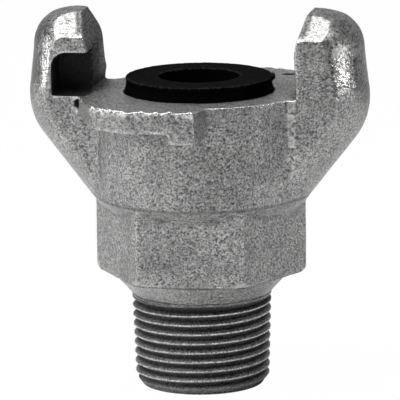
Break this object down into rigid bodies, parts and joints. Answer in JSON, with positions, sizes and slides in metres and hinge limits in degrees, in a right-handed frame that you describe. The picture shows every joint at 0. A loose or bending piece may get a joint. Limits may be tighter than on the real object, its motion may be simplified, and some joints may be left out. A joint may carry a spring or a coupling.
{
  "type": "claw hose coupling",
  "caption": "Cast air hose half coupling with two hooked claws, lips with detents, a rubber gasket, a hexagon and a tapered male pipe thread.",
  "frame": {"origin": "middle of the threaded end face, on the axis of the bore", "axes": "+Z along the bore from the threaded end to the claws, +X through one claw (the other is at -X), +Y to the side on which the +X claw's pocket opens"},
  "size_m": [0.0652, 0.0504, 0.0722],
  "materials": {
    "cast_body": "zinc plated, satin with cast grain",
    "gasket": "matte"
  },
  "bodies": {
    "root": {"coupling_body": "cast_body", "gasket": "gasket"}
  },
  "joints": []
}
